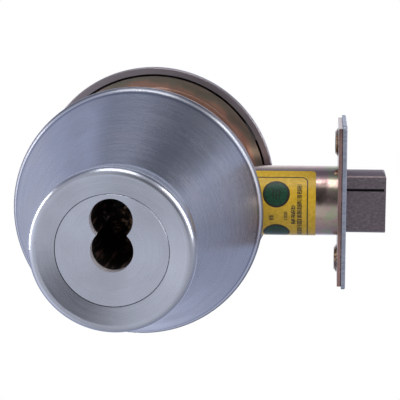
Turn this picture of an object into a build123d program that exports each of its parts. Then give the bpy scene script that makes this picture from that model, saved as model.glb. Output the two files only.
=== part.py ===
from build123d import *
import math
import os

# Tubular deadbolt lock for a hinged door, in millimetres, with its bolt half thrown.
# The origin is the centre of the faceplate's outer face, on the bolt's axis.
# +X is the way the bolt is thrown, +Y points into the room and +Z is up.
# Key side pieces are drawn with Y as the height above the door's outer face, and thumbturn
# side pieces with Y as the height above its inner face. place_outside and place_inside put them.

# Door preparation that the lock is made for
DOOR_THICKNESS = 44.45
BACKSET = 69.85
DOOR_OUTER_Y = -DOOR_THICKNESS / 2
DOOR_INNER_Y = DOOR_THICKNESS / 2

# Clearances
RUNNING_GAP = 0.06
LOOSE_GAP = 0.1
KEY_GAP = 0.05

# Faceplate, backing plate and their screw holes
FACEPLATE_WIDTH = 28.6
FACEPLATE_HEIGHT = 56.4
FACEPLATE_T = 1.4
FACEPLATE_CORNER_R = 1.0
FACEPLATE_EDGE_BREAK = 0.3
BACKING_WIDTH = 26.8
BACKING_HEIGHT = 54.6
BACKING_T = 1.4
BACKING_GAP = 0.3
BACKING_X = -FACEPLATE_T - BACKING_T
EDGE_SCREW_Z = 41.28 / 2
EDGE_SCREW_R = 2.4
COUNTERSINK_R = 4.6
COUNTERSINK_DEPTH = 0.7
DIMPLE_R = 5.15
DIMPLE_TIP_R = 3.8
DIMPLE_HEIGHT = 1.0

# Bolt: a round bar with two flats
BOLT_R = 10.95
BOLT_HALF_T = 5.4
BOLT_THROW = 25.4
BOLT_NOSE_X = 13.65
BOLT_LENGTH = 46.0
BOLT_TAIL_X = BOLT_NOSE_X - BOLT_LENGTH
NOSE_TOP_R = 1.9
NOSE_BOTTOM_R = 0.4
GROOVE_Z = 4.9
GROOVE_WIDTH = 0.9
GROOVE_DEPTH = 0.8
GROOVE_END = 0.6
ROLLER_R = 2.5
ROLLER_X = -6.0
ROLLER_FLOOR_Z = -7.6
ROLLER_LENGTH = 16.8
ROLLER_EDGE_BREAK = 0.3

# Latch case
TUBE_R = 12.1
TUBE_WALL = 1.0
TUBE_END_X = -52.0
CASE_END_X = -86.0
CASE_INNER_Y = 5.0
CASE_T = 1.2
CASE_HALF_HEIGHT = 10.2
CASE_CORNER_R = 4.0
CASE_TAB_X = -46.0
CASE_TAB_HALF_HEIGHT = 8.5
RIVET_Z = 7.6
RIVET_XS = (-83.0, -56.6)
RIVET_R = 1.0
RIVET_HEAD_R = 1.8
RIVET_HEAD_T = 0.6

# Hub fork: the link pin runs straight along X while the fork turns in proportion to it
PIN_DROP = 9.5
PIN_R = 1.4
PIN_GAP = 0.15
TURN_LIMIT = math.radians(53.2)
PIN_TRAVEL_PER_RADIAN = BOLT_THROW / 2 / TURN_LIMIT
FORK_HALF_T = 1.6
FORK_DISC_R = 8.4
FORK_ARM_HALF_WIDTH = 5.0
FORK_SHOULDER = 13.5
FORK_TIP = 17.0
FORK_TIP_HALF_WIDTH = 2.4
HUB_R = 6.2
HUB_HALF_LENGTH = 6.6
SLOT_STEPS = 8
SLOT_NUDGE = 0.001

# Link between the fork and the bolt
LINK_INNER_Y = 2.0
LINK_OUTER_Y = 3.2
LINK_BOSS_R = 2.1
LINK_LOW_Z = -10.2
LINK_HIGH_Z = -6.5
LINK_HEAD_HIGH_Z = -5.4
LINK_HEAD_LENGTH = 7.8
NOTCH_LENGTH = 8.4
NOTCH_HALF_WIDTH = 3.4
NOTCH_TOP_Z = -5.2
BOLT_PIN_R = 1.2
BOLT_PIN_Z = -7.4
BOLT_PIN_INSET = 4.2

# Detent spring over the hub
SPRING_T = 0.4
SPRING_END_Z = 9.0
SPRING_MIDDLE_Z = 8.75
SPRING_HALF_WIDTH = 1.4

# Exterior collar: rim radii and heights above the door
COLLAR_RIM_R = 42.3
COLLAR_RIM_BAND = 1.1
COLLAR_RIM_ROUND = 1.2
COLLAR_FOOT_ROUND = 0.3
COLLAR_BEVEL_R = 41.2
COLLAR_BEVEL_HEIGHT = 2.5
COLLAR_BEVEL_ROUND = 1.8
COLLAR_WAIST_R = 32.7
COLLAR_WAIST_HEIGHT = 19.6
COLLAR_WAIST_CURVE = 380.0
COLLAR_NECK_R = 23.4
COLLAR_NECK_HEIGHT = 39.2
COLLAR_NECK_ROUND = 3.0
COLLAR_LIP_R = 25.75
COLLAR_LIP_HEIGHT = 54.5
COLLAR_LIP_ROUND = 2.2
COLLAR_INNER_RIM_R = 39.8
COLLAR_INNER_TOP_HEIGHT = 40.3
COLLAR_FACE_BORE_R = 17.3
FACE_HEIGHT = 52.4
COLLAR_LEDGE_HIGH = 46.5
COLLAR_LEDGE_LOW = 44.0

# Armour ring and spring washer inside the collar
ARMOUR_OUTER_R = 20.6
ARMOUR_INNER_R = 17.4
ARMOUR_LOW = 10.0
COLLAR_WASHER_T = 0.6
COLLAR_WASHER_BORE_GAP = 0.4
COLLAR_WASHER_TOP_GAP = 0.3

# Exterior mounting plate and cylinder housing
PLATE_R = 34.0
PLATE_T = 2.0
SPIGOT_R = 26.5
SPIGOT_DEPTH = 2.0
PLATE_HOLE_R = 8.2
HOUSING_R = 16.6
HOUSING_HEAD_R = 17.15
HOUSING_FLANGE_R = 24.0
HOUSING_FLANGE_T = 4.0
HOUSING_EDGE_BREAK = 0.12
LEDGE_GAP = 0.08

# Interchangeable core cavity: two round lobes, one above the other
LOBE_R = 6.5
LOBE_SPACING = 9.3
CAVITY_FLOOR = 16.4
LUG_RECESS_Z = LOBE_SPACING / 2
LUG_RECESS_LOW = 28.0
LUG_RECESS_HIGH = 34.0
LUG_RECESS_REACH = 9.4
LUG_RECESS_HALF_HEIGHT = 2.5

# Driver: throw member, tailpiece and clip
DRIVER_HEAD_R = 6.0
DRIVER_HEAD_T = 1.2
DRIVER_SHAFT_R = 5.14
DRIVER_LOW = -1.0
PRONG_OFFSET = 3.4
PRONG_R = 0.9
PRONG_LENGTH = 3.6
TAIL_WIDTH = 6.2
TAIL_T = 2.4
TAIL_OUTER_HEIGHT = 8.0
TAIL_INNER_HEIGHT = 8.0
CLIP_LOW = 0.9
CLIP_HIGH = 1.7
CLIP_GROOVE_R = 4.2
CLIP_OUTER_R = 7.4
CLIP_MOUTH = 5.0

# Mounting posts and screws
POST_Z = 20.6
POST_R = 3.2
POST_STUB_R = 2.0
POST_END_Y = 8.0
POST_THREAD_DEPTH = 12.0
SCREW_R = 2.05
SCREW_TIP_Y = -2.0
SCREW_HEAD_R = 4.2
SCREW_HEAD_T = 2.4
SLOT_WIDTH = 1.2
SLOT_DEPTH = 1.0
HOUSING_SCREW_X = 18.0
HOUSING_SCREW_R = 1.5
HOUSING_SCREW_HEAD_R = 2.9
HOUSING_SCREW_HEAD_T = 1.6
HOUSING_SCREW_REACH = 5.4

# Interior mounting plate: a dished disc
DISH_R = 40.8
DISH_T = 1.4
DISH_FLANGE_R = 36.5
DISH_FLOOR_R = 34.0
DISH_HEIGHT = 4.0
DISH_BEND_R = 1.2
DISH_HOLE_R = 9.0
DISH_SCREW_HOLE_R = 2.4
CATCH_COUNT = 3
CATCH_WIDTH = 7.0
CATCH_T = 0.5
CATCH_LOW = 0.3
CATCH_INSET = 2.0

# Interior rose
ROSE_R = 44.1
ROSE_LIP = 2.5
ROSE_RIM_HEIGHT = 3.2
ROSE_SHOULDER_R = 27.5
ROSE_HEIGHT = 11.4
ROSE_WALL = 1.7
ROSE_BOSS_R = 15.5
ROSE_BOSS_TOP_R = 14.2
ROSE_BOSS_HEIGHT = 14.6
ROSE_FOOT_ROUND = 0.5
ROSE_RIM_ROUND = 2.2
ROSE_SHOULDER_ROUND = 9.0
ROSE_BOSS_FOOT_ROUND = 1.5
ROSE_BOSS_TOP_ROUND = 1.2
ROSE_INNER_SHOULDER_ROUND = 4.0
ROSE_INNER_RIM_ROUND = 0.8
BEARING_R = 9.1
BEARING_FLANGE_R = 11.5
BEARING_FLANGE_T = 0.35
BEARING_LOW = 9.2

# Thumbturn
SPINDLE_R = 6.0
SPINDLE_LOW = -6.0
SPINDLE_HIGH = 18.0
SPINDLE_SLOT_HIGH = 9.0
TURN_BASE = 15.05
TURN_BASE_R = 13.0
TURN_BASE_RIM = 16.6
TURN_BASE_TOP_R = 8.0
TURN_BASE_TOP = 20.2
TURN_BASE_FOOT_ROUND = 0.4
TURN_BASE_RIM_ROUND = 1.0
TURN_BASE_TOP_ROUND = 2.5
TURN_HALF_LENGTH = 20.0
TURN_ROOT_HALF_LENGTH = 10.5
TURN_TOP = 36.0
TURN_HALF_T = 3.9
TURN_CORNER_R = 7.0
TURN_EDGE_R = 1.6
TURN_TILT = 45.0
TURN_CLIP_LOW = 7.3
TURN_CLIP_HIGH = 8.1
TURN_CLIP_GROOVE_R = 5.1
TURN_CLIP_OUTER_R = 8.2
TURN_WASHER_T = 0.3
TURN_WASHER_GAP = 0.3

# Label wrapped round the latch tube, as angles above the level line on the key side
LABEL_T = 0.15
LABEL_WIDTH = 28.4
LABEL_EDGE_X = -10.3
LABEL_TOP_ANGLE = 67.0
LABEL_BOTTOM_ANGLE = -99.0
LABEL_CORNER_R = 1.5


def place_outside(shape):
    """Stand a piece on the door's outer face, on the spindle axis."""
    return Pos(-BACKSET, DOOR_OUTER_Y, 0) * Rot(0, 0, 180) * shape


def place_inside(shape):
    """Stand a piece on the door's inner face, on the spindle axis."""
    return Pos(-BACKSET, DOOR_INNER_Y, 0) * shape


def rod_x(radius, low, high, z=0):
    """Round bar along X at height z."""
    return Pos((low + high) / 2, 0, z) * Rot(0, 90, 0) * Cylinder(radius, high - low)


def rod_y(radius, low, high, x=0, z=0):
    """Round bar along Y at x, z."""
    return Pos(x, (low + high) / 2, z) * Rot(90, 0, 0) * Cylinder(radius, high - low)


def ring_y(inner_r, outer_r, low, high):
    """Plain ring round the Y axis."""
    return rod_y(outer_r, low, high) - rod_y(inner_r, low, high)


def block(x_range, y_range, z_range):
    """Box between two values on each axis."""
    size = [high - low for low, high in (x_range, y_range, z_range)]
    centre = [(high + low) / 2 for low, high in (x_range, y_range, z_range)]
    return Pos(*centre) * Box(*size)


def turned(points, radii):
    """Revolve a closed outline of (radius, height) corners, each with its own rounding."""
    outline = FilletPolyline(*points, radius=radii, close=True)
    return revolve(make_face(outline), Axis.Y, 360)


def bar_section(radius, half_t):
    """Round section with two flats, square to X."""
    return Plane.YZ * (Circle(radius) & Rectangle(2 * half_t, 3 * radius))


def bolt_opening(low, high, gap):
    """Prism that clears the bolt by a gap all round."""
    return Pos(low, 0, 0) * extrude(bar_section(BOLT_R + gap, BOLT_HALF_T + gap), high - low)


def tail_slot(low, high):
    """Slot for the flat tailpiece, round the Y axis."""
    half_t = TAIL_T / 2 + KEY_GAP
    half_width = TAIL_WIDTH / 2 + KEY_GAP
    return block((-half_t, half_t), (low, high), (-half_width, half_width))


def retaining_clip(inner_r, outer_r, low, high):
    """Flat C-shaped clip that snaps into a shaft's groove."""
    mouth = block((-CLIP_MOUTH / 2, CLIP_MOUTH / 2), (low, high), (0, outer_r + 1))
    return ring_y(inner_r, outer_r, low, high) - mouth


def spring_washer(inner_r, outer_r, low, high, thickness):
    """Conical spring washer whose outer edge stands higher than its inner edge."""
    points = [(inner_r, low), (outer_r, high - thickness), (outer_r, high), (inner_r, low + thickness)]
    return turned(points, 0)


def slotted_screw(radius, head_r, head_t, tip, head_base):
    """Pan-head machine screw along Y whose head faces +Y, with a driver slot."""
    head_top = head_base + head_t
    head = rod_y(head_r, head_base, head_top)
    head = fillet(head.edges().sort_by(Axis.Y)[-1], head_t / 3)
    slot_floor = head_top - SLOT_DEPTH
    slot = block((-head_r, head_r), (slot_floor, head_top), (-SLOT_WIDTH / 2, SLOT_WIDTH / 2))
    return rod_y(radius, tip, head_base) + head - slot


# Key side

def exterior_collar():
    """Cone-shaped collar with a tucked neck, a rounded lip and a dished face round the cylinder."""
    ledge_r = HOUSING_R + LEDGE_GAP
    outer = [
        (COLLAR_FACE_BORE_R, FACE_HEIGHT),
        (COLLAR_LIP_R, COLLAR_LIP_HEIGHT),
        (COLLAR_NECK_R, COLLAR_NECK_HEIGHT),
        (COLLAR_WAIST_R, COLLAR_WAIST_HEIGHT),
        (COLLAR_BEVEL_R, COLLAR_BEVEL_HEIGHT),
        (COLLAR_RIM_R, COLLAR_RIM_BAND),
        (COLLAR_RIM_R, 0),
    ]
    outer_radii = [
        0,
        COLLAR_LIP_ROUND,
        COLLAR_NECK_ROUND,
        COLLAR_WAIST_CURVE,
        COLLAR_BEVEL_ROUND,
        COLLAR_RIM_ROUND,
        COLLAR_FOOT_ROUND,
    ]
    inner = [
        (COLLAR_INNER_RIM_R, 0),
        (ARMOUR_OUTER_R, COLLAR_INNER_TOP_HEIGHT),
        (ARMOUR_OUTER_R, COLLAR_LEDGE_LOW),
        (ledge_r, COLLAR_LEDGE_LOW),
        (ledge_r, COLLAR_LEDGE_HIGH),
        (COLLAR_FACE_BORE_R, COLLAR_LEDGE_HIGH),
    ]
    return place_outside(turned(outer + inner, outer_radii + [0] * len(inner)))


def collar_armour_ring():
    """Hardened ring pressed up inside the collar round the cylinder housing."""
    return place_outside(ring_y(ARMOUR_INNER_R, ARMOUR_OUTER_R, ARMOUR_LOW, COLLAR_LEDGE_LOW))


def collar_spring_washer():
    """Washer on the housing's flange that keeps the collar from rattling."""
    bore_r = HOUSING_R + COLLAR_WASHER_BORE_GAP
    low = PLATE_T + HOUSING_FLANGE_T
    high = ARMOUR_LOW - COLLAR_WASHER_TOP_GAP
    return place_outside(spring_washer(bore_r, ARMOUR_OUTER_R, low, high, COLLAR_WASHER_T))


def core_cavity():
    """Figure-of-eight hole for an interchangeable core."""
    lower = rod_y(LOBE_R, CAVITY_FLOOR, FACE_HEIGHT)
    return lower + Pos(0, 0, LOBE_SPACING) * lower


def cylinder_housing():
    """Housing with a flush round face, a core cavity, a back wall bore and a rear flange."""
    low = PLATE_T
    head_low = COLLAR_LEDGE_HIGH + LOOSE_GAP
    head = rod_y(HOUSING_HEAD_R, head_low, FACE_HEIGHT)
    head = chamfer(head.edges().sort_by(Axis.Y)[-1], HOUSING_EDGE_BREAK)
    body = rod_y(HOUSING_R, low, head_low) + head + rod_y(HOUSING_FLANGE_R, low, low + HOUSING_FLANGE_T)
    body -= core_cavity()
    body -= rod_y(DRIVER_SHAFT_R + RUNNING_GAP, low, CAVITY_FLOOR)
    recess_z = (LUG_RECESS_Z - LUG_RECESS_HALF_HEIGHT, LUG_RECESS_Z + LUG_RECESS_HALF_HEIGHT)
    body -= block((0, LUG_RECESS_REACH), (LUG_RECESS_LOW, LUG_RECESS_HIGH), recess_z)
    for side in (-1, 1):
        body -= rod_y(HOUSING_SCREW_R, low, low + HOUSING_FLANGE_T, x=side * HOUSING_SCREW_X)
    return place_outside(body)


def exterior_mount_plate():
    """Plate on the door's outer face, with a spigot that centres it in the cross bore."""
    body = rod_y(PLATE_R, 0, PLATE_T) + rod_y(SPIGOT_R, -SPIGOT_DEPTH, 0)
    body -= rod_y(PLATE_HOLE_R, -SPIGOT_DEPTH, PLATE_T)
    for side in (-1, 1):
        body -= rod_y(POST_STUB_R, -SPIGOT_DEPTH, PLATE_T, z=side * POST_Z)
        body -= rod_y(HOUSING_SCREW_R + LOOSE_GAP, -SPIGOT_DEPTH, PLATE_T, x=side * HOUSING_SCREW_X)
    return place_outside(body)


def housing_screws():
    """Two screws that hold the cylinder housing on the mounting plate."""
    screw = slotted_screw(HOUSING_SCREW_R, HOUSING_SCREW_HEAD_R, HOUSING_SCREW_HEAD_T,
                          -HOUSING_SCREW_REACH, SPIGOT_DEPTH)
    flipped = Rot(0, 0, 180) * screw
    return place_outside(Part() + [Pos(side * HOUSING_SCREW_X, 0, 0) * flipped for side in (-1, 1)])


def mounting_posts():
    """Two threaded posts staked in the mounting plate, which reach through the cross bore."""
    base_y = DOOR_OUTER_Y + SPIGOT_DEPTH
    post = rod_y(POST_R, base_y, POST_END_Y)
    post += rod_y(POST_STUB_R, DOOR_OUTER_Y - PLATE_T, base_y)
    post -= rod_y(SCREW_R + KEY_GAP, POST_END_Y - POST_THREAD_DEPTH, POST_END_Y)
    return Part() + [Pos(-BACKSET, 0, side * POST_Z) * post for side in (-1, 1)]


def throw_member():
    """Turning plug in the housing's back wall, with two prongs that a core drives."""
    head_low = CAVITY_FLOOR + KEY_GAP
    head_high = head_low + DRIVER_HEAD_T
    body = rod_y(DRIVER_SHAFT_R, DRIVER_LOW, head_low) + rod_y(DRIVER_HEAD_R, head_low, head_high)
    for side in (-1, 1):
        body += rod_y(PRONG_R, head_high, head_high + PRONG_LENGTH, x=side * PRONG_OFFSET)
    body -= ring_y(CLIP_GROOVE_R, DRIVER_SHAFT_R, CLIP_LOW, CLIP_HIGH)
    body -= tail_slot(DRIVER_LOW, TAIL_OUTER_HEIGHT)
    return place_outside(body)


def tailpiece():
    """Flat bar from the throw member, through the hub, into the thumbturn's spindle."""
    y_range = (DOOR_OUTER_Y - TAIL_OUTER_HEIGHT, DOOR_INNER_Y + TAIL_INNER_HEIGHT)
    x_range = (-BACKSET - TAIL_T / 2, -BACKSET + TAIL_T / 2)
    return block(x_range, y_range, (-TAIL_WIDTH / 2, TAIL_WIDTH / 2))


def driver_clip():
    """Clip that keeps the throw member in the housing."""
    return place_outside(retaining_clip(CLIP_GROOVE_R, CLIP_OUTER_R, CLIP_LOW, CLIP_HIGH))


# Thumbturn side

def interior_mount_plate():
    """Dished disc that clamps the door, with a flange on the wood."""
    points = [
        (DISH_HOLE_R, DISH_HEIGHT),
        (DISH_FLOOR_R, DISH_HEIGHT),
        (DISH_FLANGE_R, 0),
        (DISH_R, 0),
        (DISH_R, DISH_T),
        (DISH_FLANGE_R + DISH_T, DISH_T),
        (DISH_FLOOR_R + DISH_T, DISH_HEIGHT + DISH_T),
        (DISH_HOLE_R, DISH_HEIGHT + DISH_T),
    ]
    body = turned(points, [0, DISH_BEND_R, DISH_BEND_R, 0, 0, DISH_BEND_R, DISH_BEND_R, 0])
    for side in (-1, 1):
        body -= rod_y(DISH_SCREW_HOLE_R, 0, 2 * DISH_HEIGHT, z=side * POST_Z)
    return place_inside(body)


def rose_catch_springs():
    """Bent springs on the mounting plate's flange that grip the rose's rim."""
    half_width = CATCH_WIDTH / 2
    grip_r = ROSE_R - ROSE_LIP - LOOSE_GAP
    leaf = block((DISH_R, DISH_R + CATCH_T), (CATCH_LOW, DISH_T + CATCH_T), (-half_width, half_width))
    foot = block((DISH_R - CATCH_INSET, DISH_R), (DISH_T, DISH_T + CATCH_T), (-half_width, half_width))
    spring = (leaf + foot) & rod_y(grip_r, 0, DISH_HEIGHT)
    turns = [90 + 360 / CATCH_COUNT * index for index in range(CATCH_COUNT)]
    return place_inside(Part() + [Rot(0, turn, 0) * spring for turn in turns])


def interior_rose():
    """Shallow cup that covers the mounting plate, with a boss for the thumbturn."""
    inner_r = ROSE_R - ROSE_LIP
    points = [
        (inner_r, 0),
        (ROSE_R, 0),
        (ROSE_R, ROSE_RIM_HEIGHT),
        (ROSE_SHOULDER_R, ROSE_HEIGHT),
        (ROSE_BOSS_R, ROSE_HEIGHT),
        (ROSE_BOSS_TOP_R, ROSE_BOSS_HEIGHT),
        (BEARING_R, ROSE_BOSS_HEIGHT),
        (BEARING_R, ROSE_HEIGHT - ROSE_WALL),
        (ROSE_SHOULDER_R, ROSE_HEIGHT - ROSE_WALL),
        (inner_r, ROSE_RIM_HEIGHT),
    ]
    radii = [
        0,
        ROSE_FOOT_ROUND,
        ROSE_RIM_ROUND,
        ROSE_SHOULDER_ROUND,
        ROSE_BOSS_FOOT_ROUND,
        ROSE_BOSS_TOP_ROUND,
        0,
        0,
        ROSE_INNER_SHOULDER_ROUND,
        ROSE_INNER_RIM_ROUND,
    ]
    return place_inside(turned(points, radii))


def thumbturn_bearing():
    """Plastic bush that lines the rose's boss, with a thin flange under the thumbturn."""
    bore_r = SPINDLE_R + RUNNING_GAP
    sleeve = ring_y(bore_r, BEARING_R, BEARING_LOW, ROSE_BOSS_HEIGHT)
    flange = ring_y(bore_r, BEARING_FLANGE_R, ROSE_BOSS_HEIGHT, ROSE_BOSS_HEIGHT + BEARING_FLANGE_T)
    return place_inside(sleeve + flange)


def thumbturn_spring_washer():
    """Spring washer between the spindle's clip and the bearing."""
    inner_r = SPINDLE_R + TURN_WASHER_GAP
    outer_r = BEARING_R - TURN_WASHER_GAP
    low = TURN_CLIP_HIGH + LOOSE_GAP
    high = BEARING_LOW - LOOSE_GAP
    return place_inside(spring_washer(inner_r, outer_r, low, high, TURN_WASHER_T))


def thumbturn_clip():
    """Clip that keeps the thumbturn's spindle in the rose."""
    clip = retaining_clip(TURN_CLIP_GROOVE_R, TURN_CLIP_OUTER_R, TURN_CLIP_LOW, TURN_CLIP_HIGH)
    return place_inside(clip)


def thumbturn_spindle():
    """Round shaft with a slot for the tailpiece and a groove for its clip."""
    body = rod_y(SPINDLE_R, SPINDLE_LOW, SPINDLE_HIGH)
    body -= tail_slot(SPINDLE_LOW, SPINDLE_SLOT_HIGH)
    body -= ring_y(TURN_CLIP_GROOVE_R, SPINDLE_R, TURN_CLIP_LOW, TURN_CLIP_HIGH)
    return place_inside(body)


def thumbturn():
    """Round base with a tapered flat grip, tilted midway between locked and unlocked."""
    base_points = [
        (0, TURN_BASE),
        (TURN_BASE_R, TURN_BASE),
        (TURN_BASE_R, TURN_BASE_RIM),
        (TURN_BASE_TOP_R, TURN_BASE_TOP),
        (0, TURN_BASE_TOP),
    ]
    base = turned(base_points, [0, TURN_BASE_FOOT_ROUND, TURN_BASE_RIM_ROUND, TURN_BASE_TOP_ROUND, 0])
    grip_points = [
        (-TURN_ROOT_HALF_LENGTH, TURN_BASE_RIM),
        (TURN_ROOT_HALF_LENGTH, TURN_BASE_RIM),
        (TURN_HALF_LENGTH, TURN_TOP),
        (-TURN_HALF_LENGTH, TURN_TOP),
    ]
    outline = FilletPolyline(*grip_points, radius=[0, 0, TURN_CORNER_R, TURN_CORNER_R], close=True)
    grip = extrude(make_face(outline), TURN_HALF_T, both=True)
    grip = fillet(grip.faces().filter_by(Axis.Z).edges(), TURN_EDGE_R)
    body = base + grip - rod_y(SPINDLE_R, TURN_BASE, SPINDLE_HIGH)
    return place_inside(Rot(0, TURN_TILT, 0) * body)


def mounting_screws():
    """Two long screws that draw both sides of the lock onto the door."""
    head_base = DOOR_INNER_Y + DISH_HEIGHT + DISH_T
    screw = slotted_screw(SCREW_R, SCREW_HEAD_R, SCREW_HEAD_T, SCREW_TIP_Y, head_base)
    return Part() + [Pos(-BACKSET, 0, side * POST_Z) * screw for side in (-1, 1)]


# Latch

def latch_tube():
    """Round case that fills the bore in the door's edge."""
    return rod_x(TUBE_R, TUBE_END_X, BACKING_X) - rod_x(TUBE_R - TUBE_WALL, TUBE_END_X, BACKING_X)


def case_plate(side):
    """Side plate of the latch case, with a tab in the tube and a round hole for the hub."""
    y_range = sorted((side * CASE_INNER_Y, side * (CASE_INNER_Y + CASE_T)))
    height_range = (-CASE_HALF_HEIGHT, CASE_HALF_HEIGHT)
    body = block((CASE_END_X, TUBE_END_X), y_range, height_range)
    body = fillet(body.edges().filter_by(Axis.Y).group_by(Axis.X)[0], CASE_CORNER_R)
    body += block((TUBE_END_X, CASE_TAB_X), y_range, (-CASE_TAB_HALF_HEIGHT, CASE_TAB_HALF_HEIGHT))
    body -= rod_y(HUB_R + RUNNING_GAP, *y_range, x=-BACKSET)
    for x in RIVET_XS:
        body -= rod_y(RIVET_R, *y_range, x=x, z=RIVET_Z)
    return body


def case_rivets():
    """Two rivets that tie the case's side plates together above the hub."""
    face_y = CASE_INNER_Y + CASE_T
    rivet = rod_y(RIVET_R, -face_y, face_y)
    for side in (-1, 1):
        rivet += rod_y(RIVET_HEAD_R, *sorted((side * face_y, side * (face_y + RIVET_HEAD_T))))
    return Part() + [Pos(x, 0, RIVET_Z) * rivet for x in RIVET_XS]


def pin_place(turn):
    """Where the link pin stands in the fork, as (across, down), once the hub has turned."""
    travel = PIN_TRAVEL_PER_RADIAN * turn
    across = travel * math.cos(turn) - PIN_DROP * math.sin(turn)
    down = travel * math.sin(turn) + PIN_DROP * math.cos(turn)
    return across, -down


def slot_wall(turn):
    """Point on the slot's wall, beside the pin's place and square to its path."""
    before = pin_place(turn - SLOT_NUDGE)
    after = pin_place(turn + SLOT_NUDGE)
    across = after[0] - before[0]
    along = after[1] - before[1]
    reach = (PIN_R + PIN_GAP) / math.hypot(across, along)
    place = pin_place(turn)
    return place[0] - along * reach, place[1] + across * reach


def fork_slot():
    """Teardrop slot that clears the link pin over the whole turn and is open at its end."""
    turns = [TURN_LIMIT * index / SLOT_STEPS for index in range(SLOT_STEPS + 1)]
    wall = Spline(*[slot_wall(turn) for turn in turns])
    mouth_z = -FORK_TIP - 1
    mouth = Polyline(wall @ 1, ((wall @ 1).X, mouth_z), (0, mouth_z), wall @ 0)
    half = make_face(wall + mouth)
    return half + mirror(half, Plane.YZ)


def hub_fork():
    """Hub that the tailpiece turns, with a fork that drives the link pin."""
    arms = Polygon((-FORK_ARM_HALF_WIDTH, 0), (-FORK_ARM_HALF_WIDTH, -FORK_SHOULDER),
                   (-FORK_TIP_HALF_WIDTH, -FORK_TIP), (FORK_TIP_HALF_WIDTH, -FORK_TIP),
                   (FORK_ARM_HALF_WIDTH, -FORK_SHOULDER), (FORK_ARM_HALF_WIDTH, 0), align=None)
    outline = Circle(FORK_DISC_R) + arms - fork_slot()
    body = Rot(90, 0, 0) * extrude(outline, FORK_HALF_T, both=True)
    body += rod_y(HUB_R, -HUB_HALF_LENGTH, HUB_HALF_LENGTH)
    body -= tail_slot(-HUB_HALF_LENGTH, HUB_HALF_LENGTH)
    return Pos(-BACKSET, 0, 0) * body


def detent_spring():
    """Leaf spring that presses on the hub's rim and holds it at each end of its turn."""
    ends = [(x, SPRING_END_Z) for x in RIVET_XS]
    line = ThreePointArc(ends[0], (-BACKSET, SPRING_MIDDLE_Z), ends[1])
    return Rot(90, 0, 0) * extrude(trace(line, SPRING_T), SPRING_HALF_WIDTH, both=True)


def bolt_link():
    """Forked link: two strips on each side of the hub's fork, joined in a head at the bolt."""
    head_x = BOLT_TAIL_X + LINK_HEAD_LENGTH
    half_widths = (-LINK_OUTER_Y, LINK_OUTER_Y)
    body = block((-BACKSET, head_x), half_widths, (LINK_LOW_Z, LINK_HIGH_Z))
    body += rod_y(LINK_BOSS_R, *half_widths, x=-BACKSET, z=-PIN_DROP)
    body -= block((-BACKSET - LINK_BOSS_R, BOLT_TAIL_X), (-LINK_INNER_Y, LINK_INNER_Y), (-PIN_DROP - 3, 0))
    body += block((BOLT_TAIL_X, head_x), half_widths, (LINK_LOW_Z, LINK_HEAD_HIGH_Z))
    body -= rod_y(PIN_R, *half_widths, x=-BACKSET, z=-PIN_DROP)
    body -= rod_y(BOLT_PIN_R, *half_widths, x=BOLT_TAIL_X + BOLT_PIN_INSET, z=BOLT_PIN_Z)
    return body


def link_pin():
    """Pin in the link's strips that the fork pushes."""
    return rod_y(PIN_R, -LINK_OUTER_Y, LINK_OUTER_Y, x=-BACKSET, z=-PIN_DROP)


def bolt_pin():
    """Cross pin that joins the link to the bolt."""
    return rod_y(BOLT_PIN_R, -BOLT_HALF_T, BOLT_HALF_T, x=BOLT_TAIL_X + BOLT_PIN_INSET, z=BOLT_PIN_Z)


def bolt():
    """Solid bolt with a rounded upper nose, a groove in each flat and a notch for the link."""
    blank = block((BOLT_TAIL_X, BOLT_NOSE_X), (-BOLT_R, BOLT_R), (-BOLT_R, BOLT_R))
    nose_edges = blank.edges().filter_by(Axis.Y).group_by(Axis.X)[-1].sort_by(Axis.Z)
    blank = fillet(nose_edges[-1], NOSE_TOP_R)
    nose_edges = blank.edges().filter_by(Axis.Y).group_by(Axis.X)[-1].sort_by(Axis.Z)
    blank = fillet(nose_edges[0], NOSE_BOTTOM_R)
    body = blank & bolt_opening(BOLT_TAIL_X, BOLT_NOSE_X, 0)
    groove_x = (BOLT_TAIL_X, BOLT_NOSE_X - GROOVE_END)
    groove_z = (GROOVE_Z - GROOVE_WIDTH / 2, GROOVE_Z + GROOVE_WIDTH / 2)
    groove = block(groove_x, (-BOLT_HALF_T, GROOVE_DEPTH - BOLT_HALF_T), groove_z)
    body -= groove
    body -= Rot(180, 0, 0) * groove
    body -= block((BOLT_TAIL_X, BOLT_TAIL_X + NOTCH_LENGTH), (-NOTCH_HALF_WIDTH, NOTCH_HALF_WIDTH),
                  (-BOLT_R, NOTCH_TOP_Z))
    body -= rod_y(BOLT_PIN_R, -BOLT_HALF_T, BOLT_HALF_T, x=BOLT_TAIL_X + BOLT_PIN_INSET, z=BOLT_PIN_Z)
    pocket = Pos(ROLLER_X, 0, ROLLER_FLOOR_Z + BOLT_R) * Cylinder(ROLLER_R + RUNNING_GAP, 2 * BOLT_R)
    return body - pocket


def saw_roller():
    """Hardened pin that turns freely inside the bolt, so that a saw blade can't bite."""
    low = ROLLER_FLOOR_Z + LOOSE_GAP
    roller = Pos(ROLLER_X, 0, low + ROLLER_LENGTH / 2) * Cylinder(ROLLER_R, ROLLER_LENGTH)
    return chamfer(roller.edges(), ROLLER_EDGE_BREAK)


def screw_holes(low, high):
    """Two screw holes in line, through the plates on the door's edge."""
    return [rod_x(EDGE_SCREW_R, low, high, z=side * EDGE_SCREW_Z) for side in (-1, 1)]


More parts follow.
